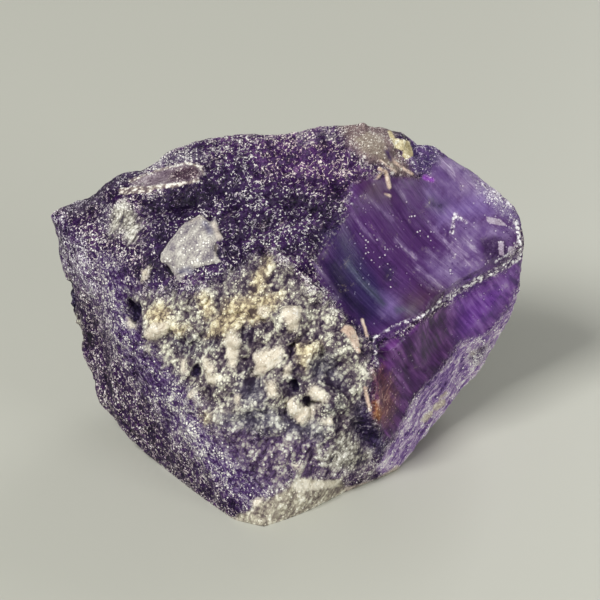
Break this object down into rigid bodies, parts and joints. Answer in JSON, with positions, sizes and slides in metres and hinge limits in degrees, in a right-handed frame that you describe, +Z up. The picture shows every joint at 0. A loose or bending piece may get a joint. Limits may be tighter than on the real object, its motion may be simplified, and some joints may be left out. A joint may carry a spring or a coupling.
{
  "type": "rough amethyst",
  "caption": "Single lump of rough amethyst, broken on every side, with a glassy shell-shaped hollow, frosted purple faces and a pale crumbly crust. It rests on a flat break.",
  "frame": {"origin": "middle of the footprint of the lump's bounding box, on the surface that it rests on", "axes": "+X runs to the right across the broad front and is the longest extent; +Y runs to the back; +Z is up, away from the flat break that it rests on"},
  "size_m": [0.0406, 0.029, 0.0265],
  "materials": {
    "amethyst": "translucent purple quartz, frosted on its broken faces, glassy in its shell-shaped hollow, with a pale cream and grey crust on the front"
  },
  "bodies": {
    "root": {"amethyst": "amethyst"}
  },
  "joints": []
}
